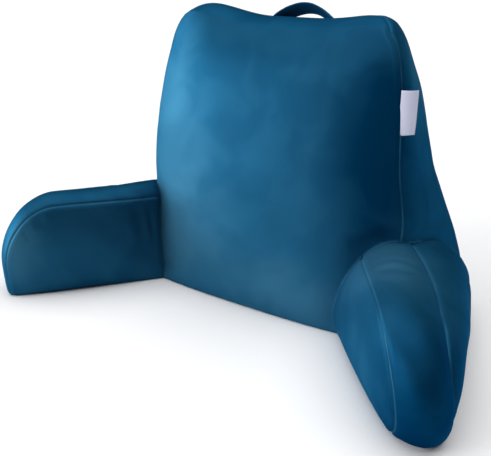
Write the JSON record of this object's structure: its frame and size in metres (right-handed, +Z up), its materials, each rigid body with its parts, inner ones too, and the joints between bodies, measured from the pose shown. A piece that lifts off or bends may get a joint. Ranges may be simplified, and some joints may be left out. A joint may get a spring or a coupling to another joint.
{
  "type": "reading pillow with arms",
  "caption": "Velvet reading pillow with a tall filled backrest, filled arms that splay forward for the sitter's elbows, a carry handle on top and a small bare tag in the side seam.",
  "frame": {"origin": "on the surface it stands on, under the middle of the outline", "axes": "+Z up; the sitter leans on the -Y side and faces -Y; +X is to the sitter's left"},
  "size_m": [0.8032, 0.474, 0.484],
  "materials": {
    "velvet": "teal blue velvet with a dark face and a bright grazing sheen",
    "handle_velvet": "the same velvet, folded into a strap",
    "tag_ribbon": "smooth woven ribbon, pale lilac"
  },
  "bodies": {
    "root": {"backrest": "velvet", "arm_left": "velvet", "arm_right": "velvet", "handle": "handle_velvet", "label": "tag_ribbon"}
  },
  "joints": []
}
